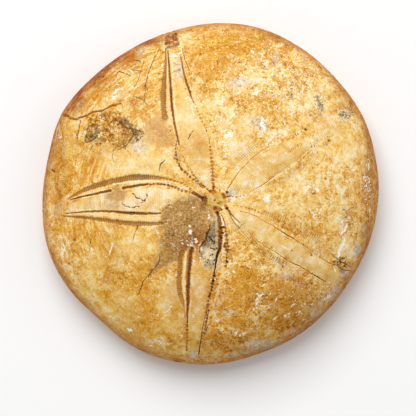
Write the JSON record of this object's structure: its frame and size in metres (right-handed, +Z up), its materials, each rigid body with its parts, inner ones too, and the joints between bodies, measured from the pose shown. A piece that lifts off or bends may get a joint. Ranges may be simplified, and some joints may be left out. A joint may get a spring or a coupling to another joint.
{
  "type": "fossil sea urchin",
  "caption": "Polished fossil of a low, domed sea urchin with a star of petal-shaped pore rows, one solid stone that rests on its flattened mouth side.",
  "frame": {"origin": "middle of the base, on the plane that the fossil rests on", "axes": "+Z up, towards the apex; -X towards the animal's front petal, +X towards its rear; +Y towards its right side"},
  "size_m": [0.0938, 0.0953, 0.027],
  "materials": {
    "fossil_stone": "polished, honey-coloured calcite with brown pore rows"
  },
  "bodies": {
    "root": {"fossil_sea_urchin": "fossil_stone"}
  },
  "joints": []
}
